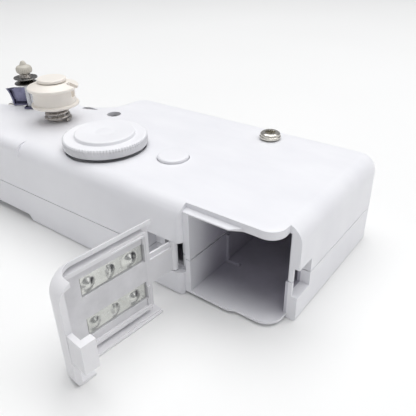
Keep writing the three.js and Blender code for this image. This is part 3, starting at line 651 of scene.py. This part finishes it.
# ---- turning parts on the face ---------------------------------------------------------------
def wheel():
    def wave(a, r, z):
        if r < 14.3 or z < 37.0:
            return r
        depth = 0.42 * min(1.0, (z - 37.0) / 0.9)
        return r - depth * (0.5 - 0.5 * math.cos(90 * a)) ** 0.7

    rim = lathe(WHEEL, [
        (0, 35.2), (15.45, 35.2, 0.2), (15.65, 35.4, 0.1), (15.65, 36.4), (15.65, 37.0), (15.65, 37.3),
        (15.65, 37.7), (15.6, 38.5, 0.3), (15.1, 38.75, 0.3), (11.6, 38.5, 0.4), (11.2, 38.55, 0.15),
        (11.05, 39.6, 0.25), (10.7, 39.8, 0.35), (4.0, 39.74), (3.7, 39.68), (3.3, 39.68),
        (3.0, 39.74), (0, 39.76)],
        720, wave)
    cut(rim, rod(WHEEL, 2.3, 34, 37.6, 32))
    piece(rim, "wheel_rim", "wheel", WHEEL_WHITE, ["hand_wheel"], 42, False)


def button():
    cap = lathe(BUTTON, [(0, 30.6), (6.6, 30.6, 0.2), (6.6, 31.8, 0.2), (5.6, 31.8), (5.6, 34.9, 0.5),
                         (5.0, 35.2, 0.4), (3.0, 35.17), (0, 35.1)], 96)
    piece(cap, "button_cap", "button", WHITE, ["power_button"])


def winder():
    hub = lathe(WINDER, [(0, 6), (1.5, 6), (1.5, 34.4), (3.8, 34.4, 0.15), (4.05, 34.65, 0.2),
                         (4.05, 35.25, 0.25), (3.7, 35.5, 0.15), (3.7, 35.65, 0.1), (3.85, 35.8, 0.1),
                         (3.75, 36.3, 0.2), (3.1, 36.75, 0.2), (0, 36.75)], 96)
    cut(hub, prism(ring_points(WINDER, 2.15, 6), 34.9, 39))
    ease(hub, 0.12, 2, 40)
    piece(hub, "winder_ring", "winder", NICKEL, ["winder_hub"])


def spool():
    pin = lathe(SPOOL, [(0, 29.4), (2, 29.4), (2, 34.3), (2.6, 34.3), (2.6, 50.7), (5.8, 50.7, 0.15),
                        (5.9, 51.7, 0.3), (5.3, 52.1, 0.4), (3.2, 52.0), (0, 52.3)], 72)
    piece(pin, "spool_post", "case", IVORY, ["spool_pin"])
    reel = lathe(SPOOL, [
        (2.9, 40.7), (9.5, 40.7, 0.2), (9.7, 41.1, 0.25), (9.6, 41.7, 0.2), (8.6, 41.9, 0.3),
        (8.5, 44.7), (8.5, 47.4, 0.2), (10.1, 47.7, 0.2), (10.35, 48.2, 0.25), (10.2, 48.8, 0.4),
        (6.3, 50.35, 0.4), (2.9, 50.4)], 96)
    slot = turned(block(7, 12, -1.3, 1.3, 44.2, 52),
                  Matrix.Translation((SPOOL[0], SPOOL[1], 0)) @ Matrix.Rotation(0.45, 4, "Z"))
    cut(reel, slot)
    ease(reel, 0.12, 2, 50)
    piece(reel, "thread_reel", "bobbin", IVORY, ["bobbin"])


def coil(centre, wire, r0, r1, z0, z1, turns, shape=1.0):
    """A spring of round wire: wire is its radius, r0 and r1 the outer radii at the two ends."""
    steps, sides, settled = 180, 10, 0.045
    verts, faces = [], []
    for i in range(steps + 1):
        t = i / steps
        a = 2 * math.pi * turns * t
        r = r0 - wire + (r1 - r0) * t ** shape
        # the end turns lie flat, as on a ground spring
        f = t - settled * math.sin(2 * math.pi * t)
        z = z0 + wire + (z1 - z0 - 2 * wire) * f
        out = Vector((math.cos(a), math.sin(a), 0))
        for k in range(sides):
            b = 2 * math.pi * k / sides
            p = out * (r + wire * math.cos(b))
            verts.append((centre[0] + p.x, centre[1] + p.y, z + wire * math.sin(b)))
    for i in range(steps):
        for k in range(sides):
            m = (k + 1) % sides
            faces.append((i * sides + k, i * sides + m, (i + 1) * sides + m, (i + 1) * sides + k))
    faces.append(tuple(range(sides))[::-1])
    faces.append(tuple(range(steps * sides, (steps + 1) * sides)))
    return data_object("tool", verts, faces)


def springs():
    piece(coil(SPOOL, 0.62, 6.0, 4.6, 34.3, 40.4, 3.4, 0.6), "reel_spring", "case", SPRING,
          ["spool_spring"], 60, False)
    piece(coil(TENSION, 0.35, 2.6, 2.2, 47.5, 49.7, 3), "thread_spring", "case", SPRING,
          ["tension_spring"], 60, False)


def tension():
    x, y = TENSION
    post = lathe(TENSION, [(0, 29.6), (1.45, 29.6), (1.45, 52.0, 0.2), (1.1, 52.2, 0.2), (0, 52.2)], 40)
    piece(post, "thread_post", "case", STEEL, ["tension_post"])
    z = CASE_H + 0.3
    # a pressed plate: a foot under the post, a wall bent up behind it and a flared wing
    path = [(3.0 - 10.7 * k / 10, 5.25) for k in range(11)]
    path += [(-7.7 - 0.9 * math.sin(a), 4.35 + 0.9 * math.cos(a))
             for a in (math.pi / 2 * k / 6 for k in range(1, 7))]
    path += [(-8.6, 4.35 - 1.5 * k / 4) for k in range(1, 5)]
    rows, n = 10, len(path)
    verts, faces = [], []
    for i, (u, v) in enumerate(path):
        before, after = path[max(0, i - 1)], path[min(n - 1, i + 1)]
        d = Vector((after[0] - before[0], after[1] - before[1])).normalized()
        wing = min(1.0, max(0.0, (i - 9) / 7))
        tip = max(0.0, (i - 16) / 4)
        for j in range(rows + 1):
            h = j / rows
            lean = wing * 1.25 * h ** 1.4 + tip * 0.9 * h ** 4
            top = 7.6 + 0.35 * tip - 0.5 * (1 - wing) * max(0.0, u + 2) / 5
            for side in (-0.33, 0.33):
                verts.append((u - lean - d.y * side, v + d.x * side, z + top * h))
    w = (rows + 1) * 2
    for i in range(n - 1):
        for j in range(rows):
            a, b = i * w + j * 2, (i + 1) * w + j * 2
            faces += [(a, a + 2, b + 2, b), (a + 1, b + 1, b + 3, a + 3)]
        for j in (0, rows):
            a, b = i * w + j * 2, (i + 1) * w + j * 2
            faces.append((a, b, b + 1, a + 1))
    for i in (0, n - 1):
        for j in range(rows):
            a = i * w + j * 2
            faces.append((a, a + 1, a + 3, a + 2))
    plate = data_object("tool", verts, faces)
    foot = prism([(-8.4, 2.9), (-2.4, 2.9), (-2.4, -2.4), (3, -2.4), (3, 5.3), (-8.4, 5.3)],
                 z, z + 0.7)
    combine(plate, [("UNION", [foot]), ("DIFFERENCE", [rod((0, 0), 1.7, z - 1, z + 2, 40)])])
    ease(plate, 0.16, 2, 40)
    turned(plate, Matrix.Translation((x, y, 0)) @ Matrix.Rotation(math.radians(37), 4, "Z"))
    piece(plate, "thread_bracket", "case", DARKENED_CHROME, ["tension_bracket"], 42)
    for name, node, ring in (
        ("disc_low", "tension_disc_low", [(1.7, 46.0), (2.8, 46.0), (5, 45.2, 0.1), (5.1, 45.5, 0.15),
                                          (5, 45.7, 0.1), (3, 46.5), (1.7, 46.5)]),
        ("disc_high", "tension_disc_high", [(1.7, 46.8), (3, 46.8), (5, 47.6, 0.1), (5.1, 47.8, 0.15),
                                            (5, 48.1, 0.1), (2.8, 47.3), (1.7, 47.3)])):
        piece(lathe(TENSION, ring, 72), name, "case", WASHER, [node])

    def ribs(a, r, z):
        return r - 0.14 * (0.5 - 0.5 * math.cos(26 * a)) if r > 3.2 and 50.2 < z < 52.4 else r

    knob = lathe(TENSION, [
        (1.65, 49.9), (2.8, 49.9, 0.2), (3.35, 50.45, 0.4), (3.42, 51.2), (3.38, 52.1, 0.5),
        (2.7, 52.9, 0.5), (1.55, 53.2, 0.4), (1.2, 54.1, 0.4), (0.75, 54.9, 0.4), (0, 55.1), (0, 52.6),
        (1.65, 52.6)], 104, ribs)
    piece(knob, "thread_knob", "tension_knob", KNOB, ["tension_knob"])


# ---- needle end ------------------------------------------------------------------------------
def stitch_plate():
    """The plate under the needle, a ring of quads round the slot that goes right through it."""
    low, high, edge = 53.2, 54.2, 0.15
    rim = outline([(-205, 4.2, 1.4), (-164, 4.2, 1.4), (-164, 18.8, 1.4), (-205, 18.8, 1.4)])
    slot = outline([(-191.5, 13.2, 1), (-181.5, 13.2, 1), (-181.5, 17.8, 1), (-191.5, 17.8, 1)])
    rings = [(rim, edge, low), (rim, 0, low + edge), (rim, 0, high - edge), (rim, edge, high),
             (slot, -edge, high), (slot, 0, high - edge), (slot, 0, low + edge), (slot, -edge, low)]
    verts = [(x - m[0] * inset, y, z - m[1] * inset) for ring, inset, y in rings for x, z, m in ring]
    n = len(rim)
    faces = []
    for k in range(len(rings)):
        a, b = k * n, (k + 1) % len(rings) * n
        faces += [(a + i, a + (i + 1) % n, b + (i + 1) % n, b + i) for i in range(n)]
    piece(data_object("tool", verts, faces), "stitch_plate", "case", NICKEL, ["needle_plate"])


def needle_end():
    plates = (("needle_lever", "needle_arm", "needle_arm", STEEL, "steel", 0.3),
              ("needle_holder", "needle_clamp", "needle_arm", NICKEL, "nickel", 0.35),
              ("stitch_needle", "needle", "needle_arm", NICKEL, "steel", 0.04),
              ("holder_screw", "needle_screw", "needle_screw", STEEL, "steel", 0.18),
              ("foot_bar", "presser_bar", "presser", STEEL, "steel", 0.25),
              ("foot_sole", "presser_foot", "presser", NICKEL, "steel", 0.25),
              ("thread_looper", "looper", "looper", STEEL, "steel", 0.25))
    for name, node, body, mat, slot, width in plates:
        piece(from_node(node, width), name, body, mat, [node])
    cap = turned(lathe((0, 0), [(0, 0), (3.0, 0, 0.6), (3.4, 1.0, 0.5), (3.3, 3.2), (3.4, 5.6, 0.4),
                                (2.9, 6.4, 0.3), (1.75, 6.4), (1.75, 3.6), (0, 3.6)], 72,
                       lambda a, r, z: r - 0.14 * (0.5 - 0.5 * math.cos(30 * a)) if r > 3.1 else r),
                 Matrix.Translation((-166, -11, 26.4)) @ Matrix.Rotation(-math.pi / 2, 4, "X"))
    piece(cap, "foot_knob", "presser", WHEEL_WHITE, ["presser_knob"])


def small_parts():
    for which in "abc":
        node = "bay_plate_" + which
        piece(from_node(node, 0.12), "bay_contact_" + which, "case", NICKEL, [node])
    pin = rod(PIVOT, 0.62, POCKET["z0"] - 0.8, POCKET["z1"] + 0.8, 32)
    piece(turned(ease(pin, 0.12), OPEN), "door_pin", "strap_pivot", STEEL, ["door_pivot"])
    for i, (bx, by) in enumerate(BOSSES):
        base = 3 if i == 3 else 0
        screw = lathe((bx, by), [(0, base + 0.95), (1.6, base + 0.9, 0.3), (2.5, base + 1.25, 0.3),
                                 (2.5, base + 2, 0.1), (1.15, base + 2), (1.15, 20), (0, 20)], 48)
        cut(screw, block(bx - 1.5, bx + 1.5, by - 0.32, by + 0.32, base, base + 1.9),
            block(bx - 0.32, bx + 0.32, by - 1.5, by + 1.5, base, base + 1.9))
        piece(screw, "cross_screw_" + "abcd"[i], "case", STEEL, ["case_screw_" + "abcd"[i]])


HIDDEN = {
    "wheel_shaft": STEEL, "main_gear": GEAR, "motor_can": STEEL, "motor_shaft": STEEL,
    "motor_pinion": BRASS, "idler_axle": STEEL, "idler_gear": GEAR, "winder_pinion": GEAR,
    "switch_board": BOARD, "switch_body": DARK, "dc_socket": DARK, "arm_pivot_pin": STEEL,
    "looper_pin": STEEL,
}
for node, mat in HIDDEN.items():
    NODES[node].data.materials.clear()
    NODES[node].data.materials.append(mat)

case_shells()
door()
contact_strip(STRIPS[0], "contact_strip_low", "door_contact_a")
contact_strip(STRIPS[1], "contact_strip_high", "door_contact_b")
wheel()
button()
winder()
spool()
springs()
tension()
stitch_plate()
needle_end()
small_parts()


# ---- stage, light and camera -------------------------------------------------------------------
def stage():
    size = 6.0
    corners = [(-size, -size, 0), (size, -size, 0), (size, size, 0), (-size, size, 0)]
    ground = data_object("ground", corners, [(0, 1, 2, 3)])
    mat, tree, shader = nodes_of("paper")
    tone = noise(tree, 3, 2)
    paper = ramp(tree, tone, (0.86, 0.86, 0.85), (0.89, 0.89, 0.88))
    tree.links.new(paper, shader.inputs["Base Color"])
    tree.links.new(spread(tree, noise(tree, 400, 2), 0.55, 0.7), shader.inputs["Roughness"])
    ground.data.materials.append(mat)


def area(name, place, target, size, power):
    light = bpy.data.lights.new(name, "AREA")
    light.shape = "RECTANGLE"
    light.size, light.size_y = size
    light.energy = power
    lamp = bpy.data.objects.new(name, light)
    lamp.location = place
    lamp.rotation_euler = (Vector(target) - Vector(place)).to_track_quat("-Z", "Y").to_euler()
    bpy.context.scene.collection.objects.link(lamp)


stage()
area("overhead", (0.05, 0.2, 1.1), (0.0, 0.0, 0.0), (1.5, 1.1), 12.9)
area("right_back", (1.1, 0.7, 0.7), (0.05, 0.0, 0.02), (0.9, 0.7), 2.2)
area("front_fill", (-0.2, -1.1, 0.8), (0.0, 0.0, 0.02), (1.0, 0.6), 1.0)

world = bpy.data.worlds.new("studio")
bpy.context.scene.world = world
world.use_nodes = True
back = next(n for n in world.node_tree.nodes if n.type == "BACKGROUND")
back.inputs["Color"].default_value = (0.95, 0.96, 1.0, 1)
back.inputs["Strength"].default_value = 0.36

view = bpy.context.scene.view_settings
view.view_transform = "Standard"
view.look = "None"
view.exposure = 0.0

AZ, EL, ROLL = math.radians(37.11), math.radians(30.63), math.radians(-0.89)
away = Vector((math.sin(AZ) * math.cos(EL), -math.cos(AZ) * math.cos(EL), math.sin(EL)))
right = Vector((math.cos(AZ), math.sin(AZ), 0))
up = away.cross(right)
turned_right = right * math.cos(ROLL) + up * math.sin(ROLL)
turned_up = up * math.cos(ROLL) - right * math.sin(ROLL)
lens = bpy.data.cameras.new("camera")
lens.sensor_width = 36
lens.lens = 42.095
lens.clip_start = 0.005
camera = bpy.data.objects.new("camera", lens)
camera.matrix_world = Matrix((
    (turned_right.x, turned_up.x, away.x, 0.14879), (turned_right.y, turned_up.y, away.y, -0.12871),
    (turned_right.z, turned_up.z, away.z, 0.10615), (0, 0, 0, 1)))
bpy.context.scene.collection.objects.link(camera)
bpy.context.scene.camera = camera

for extra in [o for o in bpy.data.objects if o.name.startswith("tool")]:
    bpy.data.objects.remove(extra)
